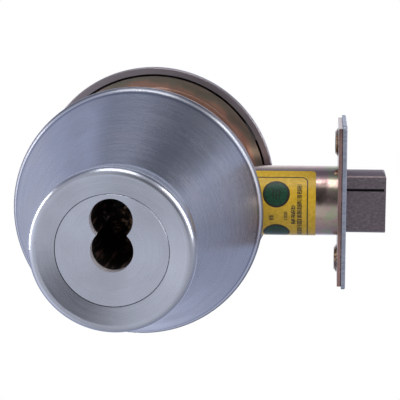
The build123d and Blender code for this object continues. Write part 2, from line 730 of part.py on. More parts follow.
def backing_plate():
    """Plate behind the faceplate, with a formed dimple round each screw hole."""
    body = block((BACKING_X, -FACEPLATE_T), (-BACKING_WIDTH / 2, BACKING_WIDTH / 2),
                 (-BACKING_HEIGHT / 2, BACKING_HEIGHT / 2))
    dimple = Rot(0, 90, 0) * Cone(DIMPLE_TIP_R, DIMPLE_R, DIMPLE_HEIGHT)
    for side in (-1, 1):
        body += Pos(BACKING_X - DIMPLE_HEIGHT / 2, 0, side * EDGE_SCREW_Z) * dimple
    body -= bolt_opening(BACKING_X, -FACEPLATE_T, BACKING_GAP)
    return body - screw_holes(BACKING_X - DIMPLE_HEIGHT, -FACEPLATE_T)


def faceplate():
    """Finished plate let into the door's edge, with countersunk screw holes."""
    body = block((-FACEPLATE_T, 0), (-FACEPLATE_WIDTH / 2, FACEPLATE_WIDTH / 2),
                 (-FACEPLATE_HEIGHT / 2, FACEPLATE_HEIGHT / 2))
    body = fillet(body.edges().filter_by(Axis.X), FACEPLATE_CORNER_R)
    body = chamfer(body.faces().sort_by(Axis.X)[-1].edges(), FACEPLATE_EDGE_BREAK)
    body -= bolt_opening(-FACEPLATE_T, 0, LOOSE_GAP)
    body -= screw_holes(-FACEPLATE_T, 0)
    for side in (-1, 1):
        place = Pos(-COUNTERSINK_DEPTH / 2, 0, side * EDGE_SCREW_Z) * Rot(0, 90, 0)
        body -= place * Cone(EDGE_SCREW_R, COUNTERSINK_R, COUNTERSINK_DEPTH)
    return body


def label_trim(edge_y, low, high):
    """Upright prism that keeps the label in front of an edge, with both of its corners rounded."""
    x_range = (LABEL_EDGE_X - LABEL_WIDTH, LABEL_EDGE_X)
    body = block(x_range, (-2 * TUBE_R, edge_y), (low, high))
    corners = body.edges().filter_by(Axis.Z).group_by(Axis.Y)[-1]
    return fillet(corners, LABEL_CORNER_R)


def label():
    """Thin label stuck round the key side of the latch tube, with rounded corners."""
    x_range = (LABEL_EDGE_X - LABEL_WIDTH, LABEL_EDGE_X)
    outer_r = TUBE_R + LABEL_T
    shell = rod_x(outer_r, *x_range) - rod_x(TUBE_R, *x_range)
    top_y = -outer_r * math.cos(math.radians(LABEL_TOP_ANGLE))
    bottom_y = -outer_r * math.cos(math.radians(LABEL_BOTTOM_ANGLE))
    upper = shell & label_trim(top_y, 0, 2 * TUBE_R)
    lower = shell & label_trim(bottom_y, -2 * TUBE_R, 0)
    return upper + lower


NODES = {
    "exterior_collar": exterior_collar,
    "collar_armour_ring": collar_armour_ring,
    "collar_spring_washer": collar_spring_washer,
    "cylinder_housing": cylinder_housing,
    "exterior_mount_plate": exterior_mount_plate,
    "housing_screws": housing_screws,
    "mounting_posts": mounting_posts,
    "throw_member": throw_member,
    "tailpiece": tailpiece,
    "driver_clip": driver_clip,
    "interior_mount_plate": interior_mount_plate,
    "rose_catch_springs": rose_catch_springs,
    "interior_rose": interior_rose,
    "thumbturn_bearing": thumbturn_bearing,
    "thumbturn_spring_washer": thumbturn_spring_washer,
    "thumbturn_clip": thumbturn_clip,
    "thumbturn_spindle": thumbturn_spindle,
    "thumbturn": thumbturn,
    "mounting_screws": mounting_screws,
    "latch_tube": latch_tube,
    "case_plate_exterior": lambda: case_plate(-1),
    "case_plate_interior": lambda: case_plate(1),
    "case_rivets": case_rivets,
    "hub_fork": hub_fork,
    "detent_spring": detent_spring,
    "bolt_link": bolt_link,
    "link_pin": link_pin,
    "bolt_pin": bolt_pin,
    "bolt": bolt,
    "saw_roller": saw_roller,
    "backing_plate": backing_plate,
    "faceplate": faceplate,
    "label": label,
}

os.makedirs("parts", exist_ok=True)
for node, make in NODES.items():
    export_step(make(), f"parts/{node}.step")
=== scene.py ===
import math

import bpy
from mathutils import Matrix, Vector


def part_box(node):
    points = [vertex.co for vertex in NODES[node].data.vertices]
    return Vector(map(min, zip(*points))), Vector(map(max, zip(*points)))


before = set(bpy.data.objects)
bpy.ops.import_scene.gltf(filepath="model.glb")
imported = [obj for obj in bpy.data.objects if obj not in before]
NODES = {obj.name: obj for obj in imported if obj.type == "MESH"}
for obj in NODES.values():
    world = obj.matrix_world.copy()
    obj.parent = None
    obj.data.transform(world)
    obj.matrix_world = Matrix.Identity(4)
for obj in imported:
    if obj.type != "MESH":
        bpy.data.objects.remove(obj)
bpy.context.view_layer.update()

# Lengths are in metres. +X is the way the bolt is thrown, -Y is the key side and +Z is up. The
# origin is the centre of the faceplate's outer face.
MM = 0.001

# ---------------------------------------------------------------- places taken from the frame

COLLAR_LOW, COLLAR_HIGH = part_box("exterior_collar")
SPINDLE_X = ((COLLAR_LOW + COLLAR_HIGH) / 2).x
SPINDLE = (SPINDLE_X, 0.0, 0.0)
RIM_R = SPINDLE_X - COLLAR_LOW.x
COLLAR_FOOT_Y = COLLAR_HIGH.y
HOUSING_FACE_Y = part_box("cylinder_housing")[0].y
ROSE_FOOT_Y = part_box("interior_rose")[0].y
TUBE_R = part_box("latch_tube")[1].z
FACEPLATE_FRONT_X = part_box("faceplate")[1].x
PLATE_BACK_X, PLATE_FRONT_X = (corner.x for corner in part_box("backing_plate"))
LABEL_EDGE_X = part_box("label")[1].x


# ---------------------------------------------------------------- node helpers

# Sockets of the Mix node when it mixes colours
MIX_FACTOR, MIX_FIRST, MIX_SECOND, MIX_RESULT = 0, 6, 7, 2
# Most of a noise's values lie in this range
NOISE_RANGE = (0.3, 0.7)


class Nodes:
    """Short calls for the nodes of one tree, which starts empty."""

    def __init__(self, tree):
        self.tree = tree
        self.tree.nodes.clear()

    def add(self, kind, **inputs):
        """New node with inputs set by name, where an underscore stands for a space."""
        made = self.tree.nodes.new(kind)
        for name, value in inputs.items():
            self.put(value, made.inputs[name.replace("_", " ")])
        return made

    def link(self, source, target):
        self.tree.links.new(source, target)

    def put(self, value, target):
        """Link an output, or set a plain value."""
        if isinstance(value, bpy.types.NodeSocket):
            self.link(value, target)
        else:
            target.default_value = value

    def maths(self, operation, first, second=0.0):
        made = self.add("ShaderNodeMath")
        made.operation = operation
        self.put(first, made.inputs[0])
        self.put(second, made.inputs[1])
        return made.outputs[0]

    def plus(self, first, second):
        return self.maths("ADD", first, second)

    def minus(self, first, second):
        return self.maths("SUBTRACT", first, second)

    def times(self, first, second):
        return self.maths("MULTIPLY", first, second)

    def away_from(self, value, middle):
        return self.maths("ABSOLUTE", self.minus(value, middle))

    def vector_maths(self, operation, first, second=(0.0, 0.0, 0.0)):
        made = self.add("ShaderNodeVectorMath")
        made.operation = operation
        self.put(first, made.inputs[0])
        self.put(second, made.inputs[1])
        return made

    def vector(self, *operands):
        return self.vector_maths(*operands).outputs["Vector"]

    def measure(self, *operands):
        return self.vector_maths(*operands).outputs["Value"]

    def split(self, vector):
        parts = self.add("ShaderNodeSeparateXYZ", Vector=vector)
        return parts.outputs["X"], parts.outputs["Y"], parts.outputs["Z"]

    def join(self, x, y, z):
        return self.add("ShaderNodeCombineXYZ", X=x, Y=y, Z=z).outputs["Vector"]

    def noise(self, vector, scale, detail=2.0, roughness=0.5):
        made = self.add("ShaderNodeTexNoise", Vector=vector, Scale=scale, Detail=detail,
                        Roughness=roughness)
        return made.outputs["Fac"]

    def remap(self, value, low, high, out_low=0.0, out_high=1.0):
        """Values from low to high spread over another range, and held at its ends."""
        made = self.add("ShaderNodeMapRange", Value=value, From_Min=low, From_Max=high,
                        To_Min=out_low, To_Max=out_high)
        return made.outputs["Result"]

    def spread(self, noise, low, high):
        """Noise spread from one value to another."""
        return self.remap(noise, *NOISE_RANGE, low, high)

    def stripe(self, value, middle, full, faded):
        """1 up to a distance from the middle, and 0 from where it has faded."""
        return self.remap(self.away_from(value, middle), faded, full)

    def within(self, value, middle, half_width):
        """1 inside a strip and 0 outside, with a hard edge."""
        return self.maths("LESS_THAN", self.away_from(value, middle), half_width)

    def ramp(self, value, *stops):
        made = self.add("ShaderNodeValToRGB", Fac=value)
        elements = made.color_ramp.elements
        while len(elements) < len(stops):
            elements.new(1.0)
        for element, (place, colour) in zip(elements, stops):
            element.position = place
            element.color = (*colour, 1.0)
        return made.outputs["Color"]

    def mix(self, factor, first, second):
        made = self.add("ShaderNodeMix")
        made.data_type = "RGBA"
        self.put(factor, made.inputs[MIX_FACTOR])
        for socket, colour in ((MIX_FIRST, first), (MIX_SECOND, second)):
            plain = not isinstance(colour, bpy.types.NodeSocket)
            self.put((*colour, 1.0) if plain else colour, made.inputs[socket])
        return made.outputs[MIX_RESULT]


class Shade(Nodes):
    """One material, as a single shader whose colour and gloss are built up in steps."""

    def __init__(self, name):
        self.material = bpy.data.materials.new(name)
        self.material.use_nodes = True
        super().__init__(self.material.node_tree)
        self.shader = self.add("ShaderNodeBsdfPrincipled")
        output = self.add("ShaderNodeOutputMaterial")
        self.link(self.shader.outputs["BSDF"], output.inputs["Surface"])

    def set(self, **inputs):
        for name, value in inputs.items():
            self.put(value, self.shader.inputs[name.replace("_", " ")])

    def so_far(self, name):
        """Output that drives one of the shader's inputs."""
        return self.shader.inputs[name].links[0].from_socket

    def paint(self, factor, colour):
        """Cover the base colour with another where the factor is 1."""
        self.set(Base_Color=self.mix(factor, self.so_far("Base Color"), colour))

    def dull(self, factor, amount):
        """Raise the roughness by an amount where the factor is 1."""
        self.set(Roughness=self.plus(self.so_far("Roughness"), self.times(factor, amount)))

    def bump(self, height, distance, strength):
        made = self.add("ShaderNodeBump", Height=height, Distance=distance, Strength=strength)
        self.set(Normal=made.outputs["Normal"])

    def tangent(self, vector):
        """Tangent of the stretched highlight, from a vector in the piece's own frame."""
        turned = self.add("ShaderNodeVectorTransform", Vector=vector)
        turned.vector_type = "VECTOR"
        turned.convert_from = "OBJECT"
        turned.convert_to = "WORLD"
        self.set(Tangent=turned.outputs[0])

    def place(self, origin=(0.0, 0.0, 0.0), scale=(1.0, 1.0, 1.0)):
        """Object coordinates about an origin, stretched along each axis."""
        coordinates = self.add("ShaderNodeTexCoord")
        moved = self.vector("SUBTRACT", coordinates.outputs["Object"], origin)
        return self.vector("MULTIPLY", moved, scale)

    def radius(self, x, z):
        return self.maths("SQRT", self.plus(self.times(x, x), self.times(z, z)))


def scaled(colour, factor):
    """Colour made darker by a factor under 1, or lighter by one over 1."""
    return tuple(min(1.0, channel * factor) for channel in colour)


# ---------------------------------------------------------------- satin plate

SATIN = (0.60, 0.615, 0.68)
SATIN_TONES = [(0.36, scaled(SATIN, 0.93)), (0.50, SATIN), (0.64, scaled(SATIN, 1.06))]
SATIN_ROUGHNESS = (0.245, 0.295)
SATIN_ANISOTROPY = 0.5
SATIN_RELIEF = 0.01 * MM
SATIN_RELIEF_STRENGTH = 0.15

BRUSH_SCALE = 5200.0
SCRATCH_SCALE = 0.22 * BRUSH_SCALE
BRUSH_SHARE = 0.7
BRUSH_RANGE = (0.35, 0.65)
TURNED_STRETCH = 0.03
STRAIGHT_STRETCH = 0.02

SMUDGE_GREY = (0.50, 0.485, 0.525)
SMUDGE_RANGE = (0.42, 0.64)
SMUDGE_WEIGHT = 0.42
SMUDGE_GLOSS_RANGE = (0.35, 0.70)
SMUDGE_GLOSS = (-0.02, 0.03)
TURNED_SMUDGE_SCALE = 70.0
STRAIGHT_SMUDGE_SCALE = 90.0


def brush_lines(shade, strokes):
    """Fine brushing with a few deeper scratches, from coordinates stretched along the stroke."""
    fine = shade.noise(strokes, BRUSH_SCALE, detail=3.0, roughness=0.65)
    scratches = shade.noise(strokes, SCRATCH_SCALE)
    return shade.plus(shade.times(fine, BRUSH_SHARE), shade.times(scratches, 1.0 - BRUSH_SHARE))


def satin_surface(shade, strokes, smudge):
    """Blue-grey satin plate whose tone and gloss follow the brushing, with greyer smudges."""
    lines = brush_lines(shade, strokes)
    shade.set(Base_Color=shade.ramp(lines, *SATIN_TONES), Metallic=1.0, Anisotropic=SATIN_ANISOTROPY)
    shade.paint(shade.remap(smudge, *SMUDGE_RANGE, 0.0, SMUDGE_WEIGHT), SMUDGE_GREY)
    gloss = shade.remap(lines, *BRUSH_RANGE, *SATIN_ROUGHNESS)
    handled = shade.remap(smudge, *SMUDGE_GLOSS_RANGE, *SMUDGE_GLOSS)
    shade.set(Roughness=shade.plus(gloss, handled))
    shade.bump(lines, SATIN_RELIEF, SATIN_RELIEF_STRENGTH)


def turned_satin(name):
    """Plate brushed in circles round the spindle, with its radius and its place along the spindle."""
    shade = Shade(name)
    x, depth, z = shade.split(shade.place(SPINDLE))
    radius = shade.radius(x, z)
    around = shade.times(shade.maths("ARCTAN2", x, z), radius)
    strokes = shade.join(radius, depth, shade.times(around, TURNED_STRETCH))
    satin_surface(shade, strokes, shade.noise(shade.place(SPINDLE), TURNED_SMUDGE_SCALE, detail=3.0))
    shade.tangent(shade.place(SPINDLE, (1.0, 0.0, 1.0)))
    return shade, radius, depth


def straight_satin(name, origin, turn):
    """Plate brushed in straight strokes that lie along Z, turned about Y by an angle in degrees."""
    shade = Shade(name)
    x, y, z = shade.split(shade.place(origin))
    cosine, sine = math.cos(math.radians(turn)), math.sin(math.radians(turn))
    across = shade.minus(shade.times(x, cosine), shade.times(z, sine))
    along = shade.plus(shade.times(x, sine), shade.times(z, cosine))
    strokes = shade.join(across, y, shade.times(along, STRAIGHT_STRETCH))
    satin_surface(shade, strokes, shade.noise(shade.place(origin), STRAIGHT_SMUDGE_SCALE, detail=3.0))
    shade.tangent(shade.join(cosine, 0.0, -sine))
    return shade


# The core cavity lies within a radius of the spindle's axis. Its mouth fades in, is full and ends
# at these depths under the housing's face.
CAVITY_R = 16.2 * MM
MOUTH_FADED, MOUTH_FULL = 0.1 * MM, 0.3 * MM
MOUTH_LOW = 3.0 * MM
MOUTH_STEEL = (0.80, 0.74, 0.76)
MOUTH_METAL_LOSS = 0.6
# Painted shade deep in the core cavity, with brown painted glints
CAVITY_SHADE_AND_GLINTS = [(0.56, (0.022, 0.018, 0.016)), (0.66, (0.38, 0.24, 0.19))]
GLINT_SCALE = 700.0
GLINT_STRETCH = (1.0, 0.12, 1.0)
WALL_DULLING = 0.12


def housing_satin():
    """Turned satin face; in the core cavity bare steel at the mouth, and deeper down painted shade with
    brown painted glints.
    """
    shade, radius, depth = turned_satin("satin_housing")
    in_cavity = shade.maths("LESS_THAN", radius, CAVITY_R)
    mouth = shade.times(in_cavity, shade.remap(depth, HOUSING_FACE_Y + MOUTH_FADED,
                                               HOUSING_FACE_Y + MOUTH_FULL))
    # Below the mouth the cavity is painted dark as shade, with brown painted glints
    wall = shade.times(in_cavity, shade.maths("GREATER_THAN", depth, HOUSING_FACE_Y + MOUTH_LOW))
    streaks = shade.noise(shade.place(scale=GLINT_STRETCH), GLINT_SCALE)
    shade.paint(mouth, MOUTH_STEEL)
    shade.paint(wall, shade.ramp(streaks, *CAVITY_SHADE_AND_GLINTS))
    shade.set(Metallic=shade.minus(1.0, shade.times(mouth, MOUTH_METAL_LOSS)))
    shade.dull(wall, WALL_DULLING)
    return shade


# Marks at the collar's rim, by distance in from it: the middle, the half width where the mark is full,
# and where it has faded. The dark line where the cone ends is painted shade, and the corner is a painted
# highlight. The corner and the side stop a little way up from the door.
CONE_SHADE_LINE = (1.55 * MM, 0.15 * MM, 0.45 * MM)
CONE_SHADE_BLUE = (0.16, 0.18, 0.28)
CONE_SHADE_WEIGHT = 0.6
RIM_HIGHLIGHT = (0.95 * MM, 0.22 * MM, 0.42 * MM)
RIM_HIGHLIGHT_PALE = (0.95, 0.95, 0.97)
RIM_SIDE_FULL, RIM_SIDE_FADED = 0.42 * MM, 0.62 * MM
RIM_SIDE_GREY = (0.36, 0.35, 0.39)
RIM_FULL_HEIGHT, RIM_FADED_HEIGHT = 2.5 * MM, 3.5 * MM


def collar_satin():
    """Turned satin, with a thin dark line of painted shade where the cone ends, a painted highlight on
    the corner and a duller rim.
    """
    shade, radius, depth = turned_satin("satin_collar")
    from_rim = shade.minus(RIM_R, radius)
    by_door = shade.remap(depth, COLLAR_FOOT_Y - RIM_FADED_HEIGHT, COLLAR_FOOT_Y - RIM_FULL_HEIGHT)
    line = shade.stripe(from_rim, *CONE_SHADE_LINE)
    corner = shade.stripe(from_rim, *RIM_HIGHLIGHT)
    side = shade.remap(from_rim, RIM_SIDE_FADED, RIM_SIDE_FULL)
    # Painted shade where the cone ends, and a painted highlight on the rim's corner
    shade.paint(shade.times(line, CONE_SHADE_WEIGHT), CONE_SHADE_BLUE)
    shade.paint(shade.times(corner, by_door), RIM_HIGHLIGHT_PALE)
    shade.paint(shade.times(side, by_door), RIM_SIDE_GREY)
    return shade


ROSE_EDGE_FULL, ROSE_EDGE_FADED = 0.7 * MM, 1.1 * MM
ROSE_EDGE_GREY = (0.40, 0.345, 0.365)
ROSE_EDGE_DULLING = 0.18


def rose_satin():
    """Turned satin, with a duller, warmer edge where the rose meets the door."""
    shade, _, depth = turned_satin("satin_rose")
    edge = shade.remap(depth, ROSE_FOOT_Y + ROSE_EDGE_FADED, ROSE_FOOT_Y + ROSE_EDGE_FULL)
    shade.paint(edge, ROSE_EDGE_GREY)
    shade.dull(edge, ROSE_EDGE_DULLING)
    return shade


SHEARED_FADED, SHEARED_FULL = 0.12 * MM, 0.20 * MM
SHEARED_TONES = [(0.35, (0.33, 0.35, 0.42)), (0.65, (0.46, 0.48, 0.54))]
SHEARED_SCALE = 1500.0
SHEARED_STRETCH = (0.2, 1.0, 1.0)
SHEARED_DULLING = 0.22


def faceplate_satin():
    """Brushed face, with a duller blue-grey sheared edge all round."""
    shade = straight_satin("satin_faceplate", (0.0, 0.0, 0.0), 0.0)
    x, _, _ = shade.split(shade.place())
    sheared = shade.remap(x, FACEPLATE_FRONT_X - SHEARED_FADED, FACEPLATE_FRONT_X - SHEARED_FULL)
    marks = shade.noise(shade.place(scale=SHEARED_STRETCH), SHEARED_SCALE, detail=3.0)
    shade.paint(sheared, shade.ramp(marks, *SHEARED_TONES))
    shade.dull(sheared, SHEARED_DULLING)
    return shade


GRIP_TURN = 45.0


def grip_satin():
    """Plate brushed in slanted strokes on the thumbturn's grip."""
    return straight_satin("satin_grip", SPINDLE, GRIP_TURN)


# ---------------------------------------------------------------- bolt

# Heights are over the bolt's axis. The flats end at the edge, where the round top starts.
BOLT_EDGE_Z = 9.53 * MM
BOLT_TONES = [(0.32, (0.135, 0.108, 0.118)), (0.52, (0.185, 0.152, 0.164)), (0.70, (0.26, 0.22, 0.235))]
BOLT_GRAIN_SCALE = 1500.0
BOLT_GRAIN_STRETCH = (0.55, 1.0, 1.0)
BOLT_CLOUD_SCALE = 210.0
BOLT_CLOUD = (0.165, 0.118, 0.130)
BOLT_CLOUD_RANGE = (0.35, 0.70)
BOLT_CLOUD_WEIGHT = 0.45
PIT_DARK = (0.05, 0.045, 0.05)
PIT_WEIGHT = 0.7
PIT_FADED, PIT_FULL = 0.34, 0.26
# Painted light: the round top is painted paler, as lit from above
LIT_TOP_TONE = (0.25, 0.20, 0.215)
LIT_TOP_WEIGHT = 0.8
LIT_TOP_FADED, LIT_TOP_FULL = -0.05 * MM, 0.10 * MM
RAGGED_EDGE = 0.12 * MM
# Painted highlight along the edge where the flats meet the round top
EDGE_HIGHLIGHT_FULL, EDGE_HIGHLIGHT_FADED = 0.10 * MM, 0.26 * MM
EDGE_HIGHLIGHT_BRIGHT = (0.62, 0.47, 0.44)
EDGE_HIGHLIGHT_RANGE = (0.30, 0.55)
EDGE_HIGHLIGHT_WEIGHT = (0.35, 1.0)
GROOVE_Z, GROOVE_HALF_WIDTH = 4.9 * MM, 0.5 * MM
GROOVE_Y, GROOVE_HALF_DEPTH = -4.9 * MM, 0.42 * MM
# Painted shade: the groove is painted near black
GROOVE_SHADE = (0.008, 0.007, 0.008)
BOLT_METALLIC = 0.75
BOLT_ROUGHNESS = (0.50, 0.40)
BOLT_RELIEF = 0.05 * MM
BOLT_RELIEF_STRENGTH = 0.3
BOLT_GRAIN_SHARE = 0.4


def bolt_steel():
    """Dull grey-brown sintered steel, with painted light on the paler round top, a painted highlight
    along the edge of the flats and painted shade in the groove.
    """
    shade = Shade("bolt_steel")
    _, y, z = shade.split(shade.place())
    grain = shade.noise(shade.place(scale=BOLT_GRAIN_STRETCH), BOLT_GRAIN_SCALE, detail=3.0,
                        roughness=0.6)
    pits = shade.noise(shade.place(), BOLT_GRAIN_SCALE, roughness=0.6)
    cloud = shade.noise(shade.place(), BOLT_CLOUD_SCALE, detail=4.0, roughness=0.6)
    height = shade.plus(z, shade.spread(pits, -RAGGED_EDGE, RAGGED_EDGE))
    top = shade.remap(height, BOLT_EDGE_Z + LIT_TOP_FADED, BOLT_EDGE_Z + LIT_TOP_FULL)
    edge_highlight = shade.stripe(height, BOLT_EDGE_Z, EDGE_HIGHLIGHT_FULL, EDGE_HIGHLIGHT_FADED)
    groove = shade.times(shade.within(z, GROOVE_Z, GROOVE_HALF_WIDTH),
                         shade.within(y, GROOVE_Y, GROOVE_HALF_DEPTH))
    shade.set(Base_Color=shade.ramp(grain, *BOLT_TONES), Metallic=BOLT_METALLIC,
              Roughness=shade.spread(grain, *BOLT_ROUGHNESS))
    shade.paint(shade.remap(cloud, *BOLT_CLOUD_RANGE, 0.0, BOLT_CLOUD_WEIGHT), BOLT_CLOUD)
    shade.paint(shade.remap(pits, PIT_FADED, PIT_FULL, 0.0, PIT_WEIGHT), PIT_DARK)
    # Painted light on the top, a painted highlight on its edge and painted shade in the groove
    shade.paint(shade.times(top, LIT_TOP_WEIGHT), LIT_TOP_TONE)
    shade.paint(shade.times(edge_highlight, shade.remap(cloud, *EDGE_HIGHLIGHT_RANGE, *EDGE_HIGHLIGHT_WEIGHT)), EDGE_HIGHLIGHT_BRIGHT)
    shade.paint(groove, GROOVE_SHADE)
    relief = shade.plus(shade.times(grain, BOLT_GRAIN_SHARE), shade.times(pits, 1.0 - BOLT_GRAIN_SHARE))
    shade.bump(relief, BOLT_RELIEF, BOLT_RELIEF_STRENGTH)
    return shade


# ---------------------------------------------------------------- zinc with a dichromate film

FILM_SCALE = 75.0
FILM_ROUGHNESS = (0.16, 0.26)
FILM_RELIEF = 0.03 * MM
FILM_RELIEF_STRENGTH = 0.25
FILM_GRAIN_SCALE = 2600.0
STAIN_SCALE = 420.0
STAIN_RANGE = (0.55, 0.80)
STAIN_WEIGHT = 0.35
STAIN_BROWN = (0.30, 0.22, 0.17)

CASE_FILM = [(0.28, (0.56, 0.46, 0.27)), (0.42, (0.42, 0.38, 0.24)), (0.54, (0.60, 0.52, 0.38)),
             (0.64, (0.50, 0.34, 0.28)), (0.74, (0.42, 0.42, 0.38))]


def dichromate(name, film, offset=(0.0, 0.0, 0.0), stretch=(1.0, 1.0, 1.0), scale=FILM_SCALE):
    """Zinc plate with a passivation film whose hue drifts in soft clouds."""
    shade = Shade(name)
    cloud = shade.noise(shade.place(offset, stretch), scale, detail=3.0, roughness=0.45)
    stain = shade.noise(shade.place(offset), STAIN_SCALE, detail=3.0, roughness=0.6)
    grain = shade.noise(shade.place(), FILM_GRAIN_SCALE)
    shade.set(Base_Color=shade.ramp(cloud, *film), Metallic=1.0,
              Roughness=shade.spread(grain, *FILM_ROUGHNESS))
    shade.paint(shade.remap(stain, *STAIN_RANGE, 0.0, STAIN_WEIGHT), STAIN_BROWN)
    shade.bump(grain, FILM_RELIEF, FILM_RELIEF_STRENGTH)
    return shade


TUBE_FILM = [(0.30, (0.47, 0.32, 0.30)), (0.46, (0.54, 0.37, 0.35)), (0.60, (0.58, 0.46, 0.36)),
             (0.72, (0.45, 0.32, 0.34))]
TUBE_WOBBLE = 1.5 * MM
TUBE_WOBBLE_SCALE = 260.0
# Where each mark has faded and where it is full: X from the faceplate's outer face, and height
# over the tube's axis
BLOOM_GREEN = (0.38, 0.45, 0.26)
BLOOM_FADED_X, BLOOM_FULL_X = -8.5 * MM, -5.0 * MM
BLOOM_WEIGHT = (0.05, 0.65)
BLOOM_RANGE = (0.42, 0.58)
# A painted dark reflection in a band along the tube's upper sides
DARK_REFLECTION_BROWN = (0.070, 0.045, 0.042)
REFLECTION_TOP_FADED, REFLECTION_TOP_FULL = 8.4 * MM, 7.0 * MM
REFLECTION_FOOT_FADED, REFLECTION_FOOT_FULL = 1.4 * MM, 3.2 * MM
REFLECTION_THIN_X, REFLECTION_FULL_X = -6.0 * MM, -8.2 * MM
REFLECTION_THIN_WEIGHT = 0.35
REFLECTION_WEIGHT = 0.8


def tube_dichromate():
    """Pinkish film, with a painted dark reflection in a band along the tube's upper sides and a green
    bloom by the plate.
    """
    shade = dichromate("dichromate_tube", TUBE_FILM)
    x, _, z = shade.split(shade.place())
    cloud = shade.noise(shade.place(), TUBE_WOBBLE_SCALE, detail=3.0)
    wobble = shade.spread(cloud, -TUBE_WOBBLE, TUBE_WOBBLE)
    along, height = shade.plus(x, wobble), shade.plus(z, wobble)
    bloom = shade.remap(along, BLOOM_FADED_X, BLOOM_FULL_X)
    shade.paint(shade.times(bloom, shade.remap(cloud, *BLOOM_RANGE, *BLOOM_WEIGHT)), BLOOM_GREEN)
    # Painted dark reflection along the tube's upper sides
    band = shade.times(shade.remap(height, REFLECTION_TOP_FADED, REFLECTION_TOP_FULL),
                       shade.remap(height, REFLECTION_FOOT_FADED, REFLECTION_FOOT_FULL))
    band = shade.times(band, shade.remap(along, REFLECTION_THIN_X, REFLECTION_FULL_X, REFLECTION_THIN_WEIGHT))
    shade.paint(shade.times(band, REFLECTION_WEIGHT), DARK_REFLECTION_BROWN)
    return shade


PLATE_FILM = [(0.32, (0.22, 0.135, 0.12)), (0.45, (0.33, 0.195, 0.17)), (0.58, (0.40, 0.25, 0.22)),
              (0.70, (0.30, 0.26, 0.19))]
PLATE_FILM_SCALE = 160.0
PLATE_FILM_STRETCH = (1.0, 1.0, 0.5)
PLATE_RAGGED = 0.1 * MM
PLATE_RAGGED_SCALE = 900.0
# Dimple colours, partly film and partly painted highlight
DIMPLE_FILM_AND_HIGHLIGHT = [(0.38, (0.30, 0.19, 0.15)), (0.50, (0.62, 0.50, 0.33)), (0.62, (0.46, 0.33, 0.30))]
DIMPLE_PATCH_SCALE = 330.0
# Painted shade at the dimples' tips and feet and in the gap by the faceplate
PLATE_SHADE = (0.045, 0.030, 0.030)
# How far forward of the dimples' tips, at the back of the plate's box, each mark lies
DIMPLE_FADED, DIMPLE_FULL = 1.15 * MM, 0.95 * MM
DIMPLE_FOOT, DIMPLE_FOOT_FULL, DIMPLE_FOOT_FADED = 0.75 * MM, 0.08 * MM, 0.18 * MM
DIMPLE_TIP_FADED, DIMPLE_TIP_FULL = 0.25 * MM, 0.1 * MM
# How far behind the plate's front face the painted shade in the gap by the faceplate reaches
PLATE_FRONT_FADED, PLATE_FRONT_FULL = 0.35 * MM, 0.15 * MM


def plate_dichromate():
    """Reddish film on the backing plate, paler patches on its dimples that are partly painted highlight,
    and painted shade at the dimples' tips and feet and in the gap by the faceplate.
    """
    shade = dichromate("dichromate_plate", PLATE_FILM, stretch=PLATE_FILM_STRETCH,
                       scale=PLATE_FILM_SCALE)
    x, _, _ = shade.split(shade.place())
    shift = shade.spread(shade.noise(shade.place(), PLATE_RAGGED_SCALE), -PLATE_RAGGED, PLATE_RAGGED)
    ragged = shade.plus(x, shift)
    dimple = shade.remap(x, PLATE_BACK_X + DIMPLE_FADED, PLATE_BACK_X + DIMPLE_FULL)
    patches = shade.noise(shade.place(), DIMPLE_PATCH_SCALE, detail=3.0)
    # Paler patches on the dimples, partly film and partly painted highlight
    shade.paint(dimple, shade.ramp(patches, *DIMPLE_FILM_AND_HIGHLIGHT))
    # Painted shade at the dimples' tips and feet and in the gap by the faceplate
    foot = shade.stripe(ragged, PLATE_BACK_X + DIMPLE_FOOT, DIMPLE_FOOT_FULL, DIMPLE_FOOT_FADED)
    tip = shade.remap(ragged, PLATE_BACK_X + DIMPLE_TIP_FADED, PLATE_BACK_X + DIMPLE_TIP_FULL)
    front = shade.remap(ragged, PLATE_FRONT_X - PLATE_FRONT_FADED, PLATE_FRONT_X - PLATE_FRONT_FULL)
    shade.paint(shade.maths("MAXIMUM", shade.maths("MAXIMUM", foot, tip), front), PLATE_SHADE)
    return shade


DISH_OFFSET = (0.02, 0.0, 0.01)
DISH_INNER_R, DISH_OUTER_R = 30.0 * MM, 41.0 * MM
DISH_RINGS = [(0.0, (0.56, 0.46, 0.36)), (0.35, (0.66, 0.38, 0.30)), (0.68, (0.60, 0.31, 0.235)),
              (0.80, (0.27, 0.24, 0.20)), (0.90, (0.22, 0.185, 0.16)), (0.97, (0.30, 0.22, 0.20))]
DISH_WOBBLE = 1.2 * MM
DISH_WOBBLE_SCALE = 120.0
DISH_FILM_SHARE = 0.2
DISH_METALLIC = 0.6


def dish_dichromate():
    """Copper film on the dished plate that darkens towards its flange, with a few gold patches."""
    shade = dichromate("dichromate_dish", CASE_FILM, offset=DISH_OFFSET)
    x, _, z = shade.split(shade.place(SPINDLE))
    wobble = shade.spread(shade.noise(shade.place(SPINDLE), DISH_WOBBLE_SCALE), -DISH_WOBBLE, DISH_WOBBLE)
    band = shade.remap(shade.plus(shade.radius(x, z), wobble), DISH_INNER_R, DISH_OUTER_R)
    rings = shade.ramp(band, *DISH_RINGS)
    shade.set(Base_Color=shade.mix(DISH_FILM_SHARE, rings, shade.so_far("Base Color")),
              Metallic=DISH_METALLIC)
    return shade


def case_dichromate():
    """Gold and olive film on the latch case and the outer plate."""
    return dichromate("dichromate_case", CASE_FILM)


# ---------------------------------------------------------------- plain metals and plastic

METAL_CLOUD_SCALE = 140.0
METAL_CLOUD_RANGE = (0.4, 0.7)
METAL_CLOUD_WEIGHT = 0.25
METAL_RELIEF_STRENGTH = 0.4


